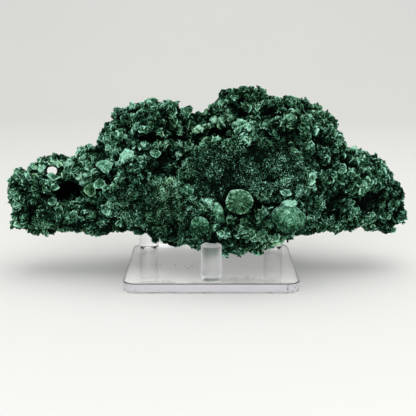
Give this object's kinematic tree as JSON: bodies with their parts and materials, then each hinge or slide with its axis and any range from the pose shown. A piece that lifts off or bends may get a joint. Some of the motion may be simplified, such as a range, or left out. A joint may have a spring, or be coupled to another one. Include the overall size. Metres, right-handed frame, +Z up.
{
  "type": "malachite specimen",
  "caption": "Long lumpy malachite specimen resting across the pegs of a small clear plastic display stand.",
  "frame": {"origin": "middle of the underside of the stand's base plate", "axes": "+Z up, +X along the stone's length to the viewer's right, +Y from the viewed front to the back"},
  "size_m": [0.1525, 0.0541, 0.0704],
  "materials": {
    "malachite": "rough fibrous green mineral, frosted pale green on its rims",
    "clear_acrylic": "clear and polished"
  },
  "bodies": {
    "root": {"malachite": "malachite", "base_plate": "clear_acrylic", "peg_front": "clear_acrylic", "peg_back_left": "clear_acrylic", "peg_back_right": "clear_acrylic"}
  },
  "joints": []
}
